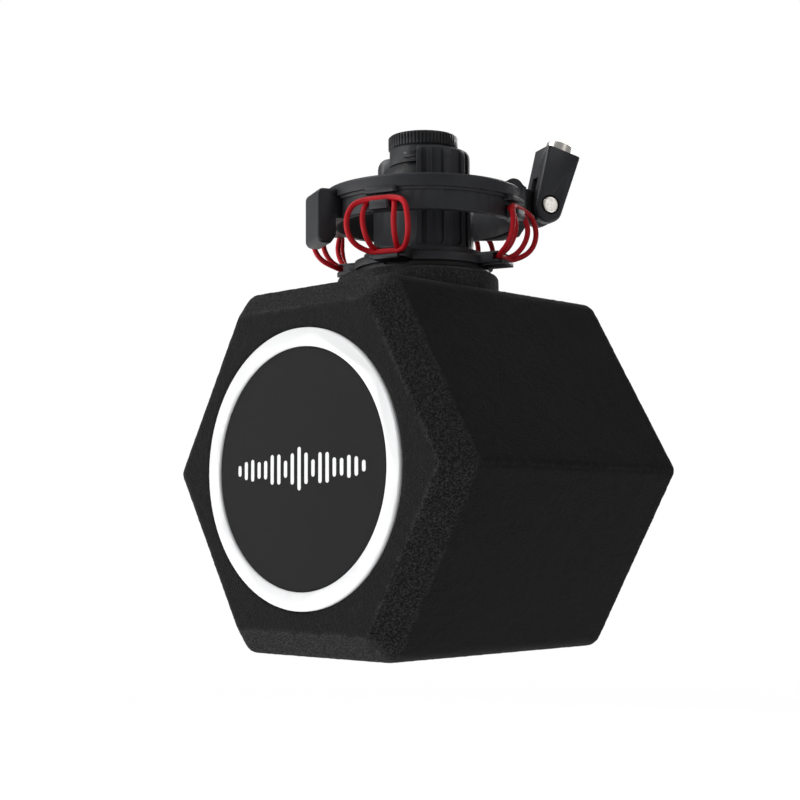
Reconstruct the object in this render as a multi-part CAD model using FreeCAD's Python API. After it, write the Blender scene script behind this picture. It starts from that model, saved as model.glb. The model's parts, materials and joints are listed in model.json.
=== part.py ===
"""Microphone isolation shield on its microphone and shock mount, as separate solids in parts/NODE.step.

Millimetres. The origin is where the microphone's axis meets the shield's flat underside.
+Z is up, along the microphone, and the shield speaks towards -Y. The shock mount is built with its
swivel on +X, then turned about the microphone's axis by SWIVEL_BEARING.
"""

import FreeCAD, Part
import math
import os

V = FreeCAD.Vector
UP = V(0, 0, 1)

# ---- shield: a hexagonal foam block lying on its side, flats at the top and the bottom ----
FOAM_ACROSS_FLATS = 200.0
FOAM_FRONT_Y = -96.7
FOAM_REAR_Y = 84.8
FOAM_BEVEL_IN = 13.3  # front bevel, measured across the front face
FOAM_BEVEL_DEEP = 14.3  # and along the block
FOAM_REAR_ROUNDING = 3.0
FOAM_FLAT_CORNER_R = 11.0  # the four long edges beside the top and bottom flats
FOAM_SIDE_CORNER_R = 6.0  # the two long edges at the sides
FOAM_AXIS_Z = FOAM_ACROSS_FLATS / 2
CAVITY_R = 62.0
CAVITY_REAR_Y = 46.0
CAVITY_END_ROUNDING = 14.0
FOAM_GAP = 0.3  # between the soft foam and what it holds

COLLAR_R = 46.5
COLLAR_CENTRE_Y = -5.0  # the collar is centred on the block, the bore for the microphone is not
COLLAR_HEIGHT = 12.5
COLLAR_ROUNDING = 3.5

# ---- pop filter that closes the shield's mouth ----
FILTER_R = 75.0
FILTER_MESH_R = 65.0
FILTER_FLANGE = 3.6
FILTER_PROUD = 0.9
FILTER_EDGE = 0.8
FILTER_SPIGOT_R = 68.0
FILTER_SPIGOT_LONG = 17.0
MESH_THICK = 0.8
MESH_RECESS = 1.2  # the front mesh lies this far behind the ring's face
FILTER_SPACER_LONG = 10.0
FILTER_SPACER_WALL = 2.2
FILTER_RETAINER_LONG = 3.0
FILTER_FIT = 0.1

# ---- microphone ----
MIC_R = 26.0
MIC_WALL = 2.2
MIC_TIP_Z = 62.0
GRILLE_TOP_Z = 140.0
GRILLE_WALL = 1.2
GRILLE_DOME = 12.0
GRILLE_COLLAR_HIGH = 9.0
MIC_TUBE_TOP_Z = 262.0
TAIL_SHOULDER_Z = 268.8
TAIL_TOP_Z = 276.9
TAIL_TOP_R = 19.0
STUB_R = 12.5
STUB_TOP_Z = 294.4
XLR_BORE_R = 9.75
XLR_FLOOR_Z = 281.0
XLR_INSERT_LONG = 11.0
XLR_PIN_R = 1.2
XLR_PIN_CIRCLE_R = 4.05
XLR_PIN_ANGLES = (25.0, 155.0, 270.0)
XLR_PIN_TOP_Z = 291.5
CAPSULE_R = 16.5
CAPSULE_THICK = 10.0
CAPSULE_Z = 100.0
BOARD = (32.0, 1.6, 88.0)
BOARD_BASE_Z = 160.0

# ---- cradle that grips the microphone ----
LOWER_RING_R = 37.8
LOWER_RING_Z = (214.0, 217.0)
LUG_PLATE_R = 40.0
LUG_PLATE_Z = (217.0, 221.5)
LUG_REACH = 50.5
LUG_HALF = 10.5
LUG_LIP_REACH = 52.5
LUG_PAD_HIGH = 1.6  # the lugs stand this much above the plate, outside the foot ring
FOOT_RING_R = 34.6
FOOT_RING_TOP_Z = 225.5
SLEEVE_R = 28.9
SLEEVE_TOP_Z = 252.0
SHELL_R = 29.5
SHELL_INNER_R = MIC_R + 0.4
SHELL_TOP_Z = 285.2
SHELL_SHOULDER_R = 6.2
SHELL_CENTRES = (-82.2, 97.8)
SHELL_HALF_ANGLE = 36.2
SHELL_FLARE_Z = 238.0  # below this the shells' side edges run on as the sides of a round-footed panel
SHELL_FLARE_R = 23.6
SHELL_GROOVE_DEEP = 1.5
SHELL_GROOVE_FOOT_Z = 227.5
SHELL_GROOVES = ((12.3, 13.2), (-12.3, 13.2), (27.8, 5.6), (-27.8, 5.6))
NECK_R = 19.5
NECK_KEY = (-131.5, 8.0, 21.4, 279.4, 282.4)  # bearing, width, radius, and the heights it spans
NECK_Z = (277.2, 286.9)
NECK_BORE_R = 12.9
GRIP_RING_R = 28.8
GRIP_RING_HIGH = 2.2
CRADLE_SCREW_R = 1.25
CRADLE_SCREW_CIRCLE_R = 31.2

LOCK_RING_R = 20.2
LOCK_RING_Z = (287.0, 295.0)
LOCK_RING_RIBS = 60
LOCK_RING_RIB_DEEP = 0.7
THREAD_FIT = 0.06

# ---- outer ring of the shock mount ----
RING_SKIRT_R = 54.6
RING_FLANGE_R = 57.6
RING_STEP_R = 56.0
RING_INNER_R = 50.8
RING_SKIRT_FOOT_Z = 242.0
RING_STEP_Z = 252.9
RING_FLANGE_Z = (254.5, 261.7)
HOOK_ANGLES = (-45.0, 45.0, 135.0, -135.0)
HOOK_NAMES = ("front_right", "rear_right", "rear_left", "front_left")
HOOK_HALF = 6.3
HOOK_REACH = 60.7
HOOK_Z = (242.2, 246.9)
HOOK_SHELF_HALF = 9.5
HOOK_SHELF_REACH = 59.2
HOOK_SHELF_Z = (251.4, 254.5)

CORD_R = 1.55
CORD_FIT = 0.12  # between a cord and the ring's hooks, which it stays on
CORD_CLEAR = 0.3  # between a cord and the cradle's lugs, which move under it
CORD_TOP = (59.0, 248.2)  # radius and height of the strand on the ring's hook
CORD_FOOT = (50.4, 220.3)  # and in the cradle's lug
CORD_INNER_SHIFT = 3.35  # the inner loop lies this much nearer to the axis

BLOCK_REACH = 68.0
BLOCK_HALF = 12.0
BLOCK_Z = (227.8, 258.8)
BLOCK_BACK_R = 57.0  # below the ring the block stops this far from the axis
BLOCK_BACK_CUT = (2.9, 4.4)  # its lower back corner, across and up
BLOCK_EDGE = 1.6
BLOCK_NOSE_EDGE = 3.8

# ---- swivel ----
SWIVEL_BEARING = 64.25  # degrees about +Z from +X
PIVOT = (76.6, 259.0)  # radius and height
EAR_HALF = 2.7
EAR_R = 7.0
RIB_HALF = 5.0
EAR_THIN_REACH = 6.2  # the bracket is already thin this far inside the ear
SWIVEL_WEB_FOOT_Z = 239.0
SWIVEL_WEB_HALF = (7.0, 27.0)  # at its foot and at the skirt
SOCKET_LEAN = 16.8
SOCKET_HALF = 10.2
SOCKET_FOOT_R = 8.7
SOCKET_FOOT_DROP = 2.0
SOCKET_TOP_HALF = 10.8
SOCKET_LONG = 34.5
SOCKET_EDGE = 1.2
CLEVIS_HALF = 3.5
CLEVIS_DEEP = 16.0
BOLT_R = 2.5
BOLT_HEAD_R = 4.9
BOLT_HEAD_RECESS = (5.75, 1.6)
NUT_ACROSS_FLATS = 8.0
NUT_HIGH = 4.0
PIVOT_FIT = 0.05
ADAPTER_R = 7.94
ADAPTER_PROUD = 5.5
ADAPTER_SEAT = 13.0
ARM_THREAD_R = 4.0


# ---- shape helpers ----
def cylinder(radius, low, high):
    return Part.makeCylinder(radius, high - low, V(0, 0, low))


def tube(outer, inner, low, high):
    return cylinder(outer, low, high).cut(cylinder(inner, low - 1, high + 1))


def box(low, high):
    size = [b - a for a, b in zip(low, high)]
    return Part.makeBox(*size, V(*low))


def polygon_face(points):
    return Part.Face(Part.makePolygon([*points, points[0]]))


def turned_profile(points, start=0.0, sweep=360.0):
    """The solid that a closed outline of (radius, height) points makes about the Z axis."""
    face = polygon_face([V(r, 0, z) for r, z in points])
    solid = face.revolve(V(0, 0, 0), UP, sweep)
    solid.rotate(V(0, 0, 0), UP, start)
    return solid


def about_z(shape, degrees):
    copy = shape.copy()
    copy.rotate(V(0, 0, 0), UP, degrees)
    return copy


def joined(shapes):
    first, *rest = shapes
    return first.fuse(rest).removeSplitter() if rest else first


def faces_front(shape):
    """Turns a shape built about +Z from z = 0 so that it looks along -Y from the shield's front face."""
    copy = shape.copy()
    copy.rotate(V(0, 0, 0), V(1, 0, 0), 90)
    copy.translate(V(0, FOAM_FRONT_Y, FOAM_AXIS_Z))
    return copy


def edges_along(shape, direction, test):
    """Straight edges parallel to a direction whose middle point passes the test."""
    found = []
    for edge in shape.Edges:
        if edge.Curve.TypeId != "Part::GeomLine":
            continue
        if edge.Curve.Direction.cross(direction).Length < 1e-6 and test(edge.CenterOfMass):
            found.append(edge)
    return found


def on_mount(shape):
    """Turns a shape of the shock mount from its own frame, swivel on +X, to its bearing."""
    return about_z(shape, SWIVEL_BEARING)


def save(name, shape):
    for solid in shape.Solids:
        if not solid.isValid() or solid.Volume <= 0:
            raise ValueError(f"{name} holds a bad solid")
    shape.exportStep(f"parts/{name}.step")
    print(f"{name}: {len(shape.Solids)} solids, {shape.Volume / 1000:.2f} cm3")


# ---- shield ----
def hexagon_wire(inset, y, sharper=1.0):
    """The block's outline at y, inset from its full size, as six straight sides and six arcs."""
    flat = FOAM_ACROSS_FLATS / 2 - inset
    vertex_r = flat / math.cos(math.radians(30))
    corners = []
    for i in range(6):
        angle = math.radians(60 * i)
        at = V(vertex_r * math.cos(angle), y, FOAM_AXIS_Z + vertex_r * math.sin(angle))
        corners.append((at, sharper * (FOAM_SIDE_CORNER_R if i % 3 == 0 else FOAM_FLAT_CORNER_R)))
    edges, previous_end = [], None
    first_start = None
    for i, (corner, radius) in enumerate(corners):
        to_last = (corners[i - 1][0] - corner).normalize()
        to_next = (corners[(i + 1) % 6][0] - corner).normalize()
        half_turn = to_last.getAngle(to_next) / 2
        start = corner + to_last * (radius / math.tan(half_turn))
        end = corner + to_next * (radius / math.tan(half_turn))
        inward = (to_last + to_next).normalize()
        middle = corner + inward * (radius / math.sin(half_turn) - radius)
        if previous_end:
            edges.append(Part.LineSegment(previous_end, start).toShape())
        else:
            first_start = start
        edges.append(Part.Arc(start, middle, end).toShape())
        previous_end = end
    edges.append(Part.LineSegment(previous_end, first_start).toShape())
    return Part.Wire(edges)


def foam_body():
    stations = (
        (FOAM_BEVEL_IN, FOAM_FRONT_Y, 0.4),
        (0.0, FOAM_FRONT_Y + FOAM_BEVEL_DEEP, 1.0),
        (0.0, FOAM_REAR_Y - FOAM_REAR_ROUNDING, 1.0),
        (FOAM_REAR_ROUNDING, FOAM_REAR_Y, 0.7),
    )
    wires = [hexagon_wire(*station) for station in stations]
    lengths = [Part.makeLoft([a, b], True, True) for a, b in zip(wires, wires[1:])]
    block = joined(lengths)
    seat = faces_front(cylinder(FILTER_R + FOAM_GAP, -(FILTER_FLANGE - FILTER_PROUD), 5))
    mouth_deep = FILTER_FLANGE - FILTER_PROUD + FILTER_SPIGOT_LONG + 1
    mouth = faces_front(cylinder(FILTER_SPIGOT_R + FOAM_GAP, -mouth_deep, 5))
    hollow = cylinder(CAVITY_R, -(CAVITY_REAR_Y - FOAM_FRONT_Y), 5)
    far_edge = [e for e in hollow.Edges if e.CenterOfMass.z < -1 and e.Closed]
    hollow = faces_front(hollow.makeFillet(CAVITY_END_ROUNDING, far_edge))
    throat = cylinder(MIC_R + FOAM_GAP, FOAM_AXIS_Z, FOAM_ACROSS_FLATS + 5)
    return block.cut([seat, mouth, hollow, throat])


def neck_collar():
    low, high = FOAM_ACROSS_FLATS, FOAM_ACROSS_FLATS + COLLAR_HEIGHT
    disc = Part.makeCylinder(COLLAR_R, COLLAR_HEIGHT, V(0, COLLAR_CENTRE_Y, low))
    rim = [e for e in disc.Edges if e.Closed and abs(e.CenterOfMass.z - high) < 0.1]
    return disc.makeFillet(COLLAR_ROUNDING, rim).cut(cylinder(MIC_R + FOAM_GAP, low - 1, high + 1))


# ---- pop filter, built about +Z with the shield's front face at z = 0 ----
def filter_layers():
    """The height of each layer behind the ring's face, from the front mesh to the retainer's end."""
    front_mesh = FILTER_PROUD - MESH_RECESS
    spacer = front_mesh - MESH_THICK
    rear_mesh = spacer - FILTER_SPACER_LONG
    retainer = rear_mesh - MESH_THICK
    return front_mesh, spacer, rear_mesh, retainer, retainer - FILTER_RETAINER_LONG


def filter_ring():
    back = FILTER_PROUD - FILTER_FLANGE
    end = back - FILTER_SPIGOT_LONG
    outline = (
        (FILTER_MESH_R, FILTER_PROUD - FILTER_EDGE),
        (FILTER_MESH_R + FILTER_EDGE, FILTER_PROUD),
        (FILTER_R - FILTER_EDGE, FILTER_PROUD),
        (FILTER_R, FILTER_PROUD - FILTER_EDGE),
        (FILTER_R, back),
        (FILTER_SPIGOT_R, back),
        (FILTER_SPIGOT_R, end),
        (FILTER_MESH_R, end),
    )
    return faces_front(turned_profile(outline))


def filter_disc(top):
    return faces_front(cylinder(FILTER_MESH_R - FILTER_FIT, top - MESH_THICK, top))


def filter_hoop(top, bottom):
    outer = FILTER_MESH_R - FILTER_FIT
    return faces_front(tube(outer, outer - FILTER_SPACER_WALL, bottom, top))


# ---- microphone ----
def microphone_tube():
    return tube(MIC_R, MIC_R - MIC_WALL, GRILLE_TOP_Z + GRILLE_COLLAR_HIGH, MIC_TUBE_TOP_Z)


def grille_collar():
    low, high = GRILLE_TOP_Z, GRILLE_TOP_Z + GRILLE_COLLAR_HIGH
    ring = tube(MIC_R, MIC_R - MIC_WALL - 2, low, high)
    floor = cylinder(MIC_R - MIC_WALL - 1, low + 2, low + 4)
    wire_hole = cylinder(3, low, high)
    return joined([ring, floor]).cut(wire_hole)


def head_grille():
    outer = MIC_R - 0.2
    inner = outer - GRILLE_WALL
    dome_top = MIC_TIP_Z + GRILLE_DOME

    def cup(radius, tip):
        body = cylinder(radius, tip, GRILLE_TOP_Z)
        rim = [e for e in body.Edges if e.Closed and abs(e.CenterOfMass.z - tip) < 0.1]
        return body.makeFillet(dome_top - tip - 0.01, rim)

    return cup(outer, MIC_TIP_Z).cut(cup(inner, MIC_TIP_Z + GRILLE_WALL))


def capsule_disc(radius, near, far):
    """A disc facing the shield's mouth, from y = near to y = far."""
    return Part.makeCylinder(radius, far - near, V(0, near, CAPSULE_Z), V(0, 1, 0))


def capsule_parts():
    half = CAPSULE_THICK / 2
    skin, clamp = 0.3, 1.6
    body = capsule_disc(CAPSULE_R, -half, half)
    skins, clamps = [], []
    for side in (-1, 1):
        near, far = sorted((side * half, side * (half + skin)))
        skins.append(capsule_disc(CAPSULE_R - 2.5, near, far))
        near, far = sorted((side * half, side * (half + clamp)))
        ring = capsule_disc(CAPSULE_R, near, far).cut(capsule_disc(CAPSULE_R - 2.4, near - 1, far + 1))
        clamps.append(ring)
    return body, Part.makeCompound(skins), Part.makeCompound(clamps)


def capsule_saddle():
    """A post that hangs from the grille's collar, with a cup that the capsule's edge sits in."""
    half, wall = CAPSULE_THICK / 2, 3.0
    reach = CAPSULE_R + wall
    ring = capsule_disc(reach, -half, half).cut(capsule_disc(CAPSULE_R + 0.05, -half - 1, half + 1))
    upper = ring.common(box((-reach, -half, CAPSULE_Z + 6), (reach, half, CAPSULE_Z + reach)))
    post = box((-5, -half, CAPSULE_Z + CAPSULE_R + 1.5), (5, half, GRILLE_TOP_Z + 2))
    return joined([upper, post.cut(cylinder(1.8, CAPSULE_Z, GRILLE_TOP_Z + 3))])


def microphone_rails():
    """Two side rails between the grille's collar and the tail, which carry the circuit board."""
    rails = []
    low, high = GRILLE_TOP_Z + GRILLE_COLLAR_HIGH, MIC_TUBE_TOP_Z
    for side in (-1, 1):
        near, far = sorted((side * 16.3, side * 20.5))
        rails.append(box((near, -3, low), (far, 3, high)))
    return Part.makeCompound(rails)


def circuit_board():
    wide, thick, high = BOARD
    return box((-wide / 2, -thick / 2, BOARD_BASE_Z), (wide / 2, thick / 2, BOARD_BASE_Z + high))


def board_parts():
    thick = BOARD[1] / 2
    cans = [(-7, 176, 4.0, 9.0), (7, 176, 4.0, 9.0), (0, 192, 3.2, 7.0), (9, 208, 3.2, 7.0)]
    parts = [Part.makeCylinder(r, long, V(x, -thick, z), V(0, -1, 0)) for x, z, r, long in cans]
    chips = [(-8, 206), (-8, 224), (4, 230)]
    parts += [box((x - 3.5, -thick - 2.0, z - 2.5), (x + 3.5, -thick, z + 2.5)) for x, z in chips]
    return Part.makeCompound(parts)


def microphone_tail():
    outline = (
        (XLR_BORE_R, MIC_TUBE_TOP_Z),
        (MIC_R, MIC_TUBE_TOP_Z),
        (MIC_R, TAIL_SHOULDER_Z),
        (TAIL_TOP_R, TAIL_TOP_Z),
        (STUB_R, TAIL_TOP_Z),
        (STUB_R, STUB_TOP_Z - 0.6),
        (STUB_R - 0.6, STUB_TOP_Z),
        (XLR_BORE_R + 0.5, STUB_TOP_Z),
        (XLR_BORE_R, STUB_TOP_Z - 0.5),
    )
    return turned_profile(outline)


def xlr_pin_places():
    for angle in XLR_PIN_ANGLES:
        turn = math.radians(angle)
        yield V(XLR_PIN_CIRCLE_R * math.cos(turn), XLR_PIN_CIRCLE_R * math.sin(turn), 0)


def xlr_insert():
    low = XLR_FLOOR_Z - XLR_INSERT_LONG
    insert = cylinder(XLR_BORE_R - 0.05, low, XLR_FLOOR_Z)
    holes = [Part.makeCylinder(XLR_PIN_R, 40, at + V(0, 0, low - 10)) for at in xlr_pin_places()]
    return insert.cut(holes)


def xlr_pins():
    low = XLR_FLOOR_Z - XLR_INSERT_LONG - 3
    pins = []
    for at in xlr_pin_places():
        pin = Part.makeCylinder(XLR_PIN_R - 0.02, XLR_PIN_TOP_Z - low, at + V(0, 0, low))
        tip = [e for e in pin.Edges if e.Closed and e.CenterOfMass.z > XLR_PIN_TOP_Z - 0.1]
        pins.append(pin.makeFillet(0.9, tip))
    return Part.makeCompound(pins)


# ---- cradle ----
def shell_groove(centre, wide):
    """A shallow upright groove in a shell's outside, round at its foot."""
    bottom_r = SHELL_R - SHELL_GROOVE_DEEP
    half_wide = SHELL_R * math.radians(wide) / 2
    z0 = SHELL_GROOVE_FOOT_Z + half_wide
    outline = ((bottom_r, z0), (SHELL_R + 4, z0), (SHELL_R + 4, SHELL_TOP_Z + 2), (bottom_r, SHELL_TOP_Z + 2))
    channel = turned_profile(outline, centre - wide / 2, wide)
    foot = Part.makeCylinder(half_wide, SHELL_R + 4, V(0, 0, z0), V(1, 0, 0))
    foot = about_z(foot, centre).cut(cylinder(bottom_r, z0 - 20, z0 + 20))
    return [channel, foot]


def shell_profile():
    shoulder = []
    for step in range(7):
        turn = math.radians(15 * step)
        at_r = SHELL_R - SHELL_SHOULDER_R * (1 - math.cos(turn))
        shoulder.append((at_r, SHELL_TOP_Z - SHELL_SHOULDER_R * (1 - math.sin(turn))))
    cone_gap = SHELL_INNER_R - MIC_R
    return [
        (SHELL_INNER_R, FOOT_RING_TOP_Z - 1),
        (SHELL_R, FOOT_RING_TOP_Z - 1),
        *shoulder,
        (NECK_R - 1, SHELL_TOP_Z),
        (NECK_R - 1, TAIL_TOP_Z + cone_gap),
        (TAIL_TOP_R + cone_gap, TAIL_TOP_Z + cone_gap),
        (SHELL_INNER_R, TAIL_SHOULDER_Z + cone_gap),
    ]


def smooth_panels():
    """Cutters beyond the sleeve's surface for the two smooth, round-footed panels between the shells."""
    panels = []
    half = SHELL_R * math.sin(math.radians(90 - SHELL_HALF_ANGLE))
    for centre in SHELL_CENTRES:
        upper = box((0, -half, SHELL_FLARE_Z), (50, half, SHELL_TOP_Z))
        foot = Part.makeCylinder(SHELL_FLARE_R, 50, V(0, 0, SHELL_FLARE_Z), V(1, 0, 0))
        panels.append(about_z(upper.fuse(foot), centre + 90))
    return panels


def cradle_frame():
    """The neck, the two fluted shells below it, and the sleeve and foot ring that tie them together."""
    neck = tube(NECK_R, NECK_BORE_R, *NECK_Z)
    bearing, wide, reach, low, high = NECK_KEY
    key = about_z(box((NECK_R - 2, -wide / 2, low), (reach, wide / 2, high)), bearing)
    foot = tube(FOOT_RING_R, SHELL_INNER_R, LUG_PLATE_Z[1], FOOT_RING_TOP_Z)
    sleeve = tube(SLEEVE_R, SHELL_INNER_R, FOOT_RING_TOP_Z - 1, SLEEVE_TOP_Z)
    skin = tube(SHELL_R, SLEEVE_R - 0.2, FOOT_RING_TOP_Z - 1, SLEEVE_TOP_Z).cut(smooth_panels())
    shells, grooves = [], []
    for centre in SHELL_CENTRES:
        shells.append(turned_profile(shell_profile(), centre - SHELL_HALF_ANGLE, 2 * SHELL_HALF_ANGLE))
        for offset, wide in SHELL_GROOVES:
            grooves += shell_groove(centre + offset, wide)
    thread_foot = V(0, 0, LUG_PLATE_Z[1] - 0.5)
    holes = [Part.makeCylinder(CRADLE_SCREW_R, 3.5, at + thread_foot) for at in screw_places()]
    return joined([neck, key, foot, sleeve, skin, *shells]).cut(grooves + holes)


def screw_places():
    for i in range(4):
        turn = math.radians(90 * i)
        yield V(CRADLE_SCREW_CIRCLE_R * math.cos(turn), CRADLE_SCREW_CIRCLE_R * math.sin(turn), 0)


def lug_plate():
    low, high = LUG_PLATE_Z
    plate = cylinder(LUG_PLATE_R, low, high)
    reach, foot_z = CORD_FOOT
    slot_half = CORD_R + CORD_CLEAR
    slot = box((reach - CORD_INNER_SHIFT, -20, foot_z - slot_half), (reach + 3, 20, foot_z + slot_half))
    lugs = []
    for angle in HOOK_ANGLES:
        arm = box((30, -LUG_HALF, low), (LUG_REACH, LUG_HALF, high))
        pad = box((FOOT_RING_R + 0.3, -LUG_HALF, high - 1), (LUG_REACH, LUG_HALF, high + LUG_PAD_HIGH))
        lip = box((40, -LUG_HALF + 3, low - 1.0), (LUG_LIP_REACH, LUG_HALF - 3, low + 1.4))
        lug = joined([arm, pad, lip]).cut([slot, *cord_grooves(CORD_CLEAR)])
        lugs.append(about_z(lug, angle))
    whole = joined([plate, *lugs])
    bore = cylinder(SHELL_INNER_R, low - 5, high + 5)
    grip_seat = cylinder(GRIP_RING_R, low - 5, low + GRIP_RING_HIGH)
    holes = [Part.makeCylinder(CRADLE_SCREW_R, 20, at + V(0, 0, low - 5)) for at in screw_places()]
    return whole.cut([bore, grip_seat, *holes])


def lower_ring():
    low, high = LOWER_RING_Z
    ring = tube(LOWER_RING_R, SHELL_INNER_R, low, high)
    holes = []
    for at in screw_places():
        holes.append(Part.makeCylinder(CRADLE_SCREW_R, 10, at + V(0, 0, low - 2)))
        holes.append(Part.makeCylinder(2.4, 2.0, at + V(0, 0, low - 0.6)))
    lip_room = [
        about_z(box((30, -LUG_HALF + 2.7, high - 1.3), (LUG_LIP_REACH, LUG_HALF - 2.7, high + 1)), angle)
        for angle in HOOK_ANGLES
    ]
    outer_only = [room.cut(cylinder(LOWER_RING_R - 1.5, 200, 230)) for room in lip_room]
    return ring.cut(holes + outer_only)


def grip_ring():
    low = LUG_PLATE_Z[0]
    return tube(GRIP_RING_R - 0.05, MIC_R + 0.05, low + 0.02, low + GRIP_RING_HIGH - 0.05)


def cradle_screws():
    screws = []
    head_low = LOWER_RING_Z[0] + 0.1
    for at in screw_places():
        head = Part.makeCylinder(2.3, 1.25, at + V(0, 0, head_low))
        shank = Part.makeCylinder(CRADLE_SCREW_R - 0.03, 9.4, at + V(0, 0, head_low))
        slot = box((-3, -0.35, head_low - 1), (3, 0.35, head_low + 0.6))
        slot.translate(at)
        screws.append(head.fuse(shank).removeSplitter().cut(slot))
    return Part.makeCompound(screws)


def locking_ring():
    low, high = LOCK_RING_Z
    inner_r = LOCK_RING_R - LOCK_RING_RIB_DEEP
    points = []
    for i in range(LOCK_RING_RIBS):
        for share, radius in ((-0.28, LOCK_RING_R), (0.28, LOCK_RING_R), (0.42, inner_r), (0.58, inner_r)):
            turn = 2 * math.pi * (i + share) / LOCK_RING_RIBS
            points.append(V(radius * math.cos(turn), radius * math.sin(turn), low + 0.1))
    ribbed = polygon_face(points).extrude(V(0, 0, high - low - 0.1))
    edge = 0.9
    outline = (
        (0, low),
        (LOCK_RING_R - edge, low),
        (LOCK_RING_R + 0.1, low + edge),
        (LOCK_RING_R + 0.1, high - edge),
        (LOCK_RING_R - edge, high),
        (0, high),
    )
    rounded = ribbed.common(turned_profile(outline))
    bore = cylinder(STUB_R + THREAD_FIT, low - 1, high + 1)
    dish = cylinder(15.6, high - 0.7, high + 1)
    rim_groove = tube(16.9, 16.2, high - 0.5, high + 1)
    return rounded.cut([bore, dish, rim_groove])


# ---- outer ring ----
def ring_outline():
    low, high = RING_FLANGE_Z
    return (
        (RING_INNER_R, RING_SKIRT_FOOT_Z),
        (RING_SKIRT_R - 0.5, RING_SKIRT_FOOT_Z),
        (RING_SKIRT_R, RING_SKIRT_FOOT_Z + 0.5),
        (RING_SKIRT_R, RING_STEP_Z),
        (RING_STEP_R, RING_STEP_Z),
        (RING_STEP_R, low),
        (RING_FLANGE_R - 0.3, low),
        (RING_FLANGE_R, low + 0.3),
        (RING_FLANGE_R, high - 1.0),
        (RING_FLANGE_R - 1.0, high),
        (RING_INNER_R + 0.5, high),
        (RING_INNER_R, high - 0.5),
    )


def ring_envelope():
    """The ring with its hole filled, to trim what is fixed to its outside."""
    outline = ring_outline()
    return turned_profile([(0, RING_SKIRT_FOOT_Z), *outline[1:-2], (0, RING_FLANGE_Z[1])])


def outer_ring():
    ring = turned_profile(ring_outline())
    inside = RING_INNER_R + 1
    hooks, grooves = [], []
    for angle in HOOK_ANGLES:
        tab = box((inside, -HOOK_HALF, HOOK_Z[0]), (HOOK_REACH, HOOK_HALF, HOOK_Z[1]))
        outer_edges = edges_along(tab, UP, lambda at: at.x > HOOK_REACH - 1)
        tab = tab.makeFillet(2.0, outer_edges)
        low, high = HOOK_SHELF_Z
        shelf = box((inside, -HOOK_SHELF_HALF, low), (HOOK_SHELF_REACH, HOOK_SHELF_HALF, high))
        shelf_edges = edges_along(shelf, UP, lambda at: at.x > HOOK_SHELF_REACH - 1)
        shelf = shelf.makeFillet(1.5, shelf_edges)
        hooks.append(about_z(joined([tab, shelf]), angle))
        grooves += [about_z(groove, angle) for groove in cord_grooves(CORD_FIT)]
    return joined([ring, *hooks]).cut([cylinder(RING_INNER_R, 230, 270), *grooves])


def elastic_half(top, foot, bulges, bar_half, foot_half, radius):
    """One side of an elastic loop as a tube: half the top strand, down the bulge, half the foot strand."""
    points = [
        V(top[0], 0, top[1]),
        V(top[0], bar_half, top[1]),
        *[V(r, t, z) for r, t, z in bulges],
        V(foot[0], foot_half, foot[1]),
        V(foot[0], 0, foot[1]),
    ]
    return round_tube(points, radius)


def round_tube(points, radius):
    """A round tube along straight runs joined by tangent arcs."""
    edges, cursor = [], points[0]
    for i in range(1, len(points) - 1):
        corner = points[i]
        back = points[i - 1] - corner
        ahead = points[i + 1] - corner
        back_share = 0.62 if i == 1 else 0.48
        ahead_share = 0.62 if i == len(points) - 2 else 0.48
        trim = min(back.Length * back_share, ahead.Length * ahead_share)
        back.normalize()
        ahead.normalize()
        start, end = corner + back * trim, corner + ahead * trim
        inward = (back + ahead).normalize()
        half = back.getAngle(ahead) / 2
        arc_r = trim * math.tan(half)
        middle = corner + inward * (arc_r / math.sin(half) - arc_r)
        if (start - cursor).Length > 1e-4:
            edges.append(Part.LineSegment(cursor, start).toShape())
        edges.append(Part.Arc(start, middle, end).toShape())
        cursor = end
    if (points[-1] - cursor).Length > 1e-4:
        edges.append(Part.LineSegment(cursor, points[-1]).toShape())
    path = Part.Wire(edges)
    direction = (points[1] - points[0]).normalize()
    profile = Part.Wire([Part.makeCircle(radius, points[0], direction)])
    return path.makePipeShell([profile], True, True)


def elastic_halves(radius):
    """One side of the outer loop and of the inner loop of the elastic on +X."""
    top_r, top_z = CORD_TOP
    foot_r, foot_z = CORD_FOOT
    outer = elastic_half(
        (top_r, top_z), (foot_r, foot_z),
        [(61.3, 16.4, 245.3), (63.0, 19.0, 235.0), (59.2, 17.2, 225.2)], 9.0, 10.5, radius,
    )
    inner = elastic_half(
        (top_r - CORD_INNER_SHIFT, top_z), (foot_r - CORD_INNER_SHIFT, foot_z),
        [(59.8, 9.6, 243.2), (61.2, 9.4, 234.0), (56.0, 8.2, 224.2)], 7.0, 6.0, radius,
    )
    return outer, inner


def elastic_loops():
    loops = []
    for half in elastic_halves(CORD_R):
        other = half.mirror(V(0, 0, 0), V(0, 1, 0))
        loops.append(half.fuse(other).removeSplitter())
    return Part.makeCompound(loops)


def cord_grooves(clearance):
    """Cutters in the shape of the elastic on +X, fatter by a clearance all round."""
    halves = elastic_halves(CORD_R + clearance)
    return [*halves, *[half.mirror(V(0, 0, 0), V(0, 1, 0)) for half in halves]]


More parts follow.
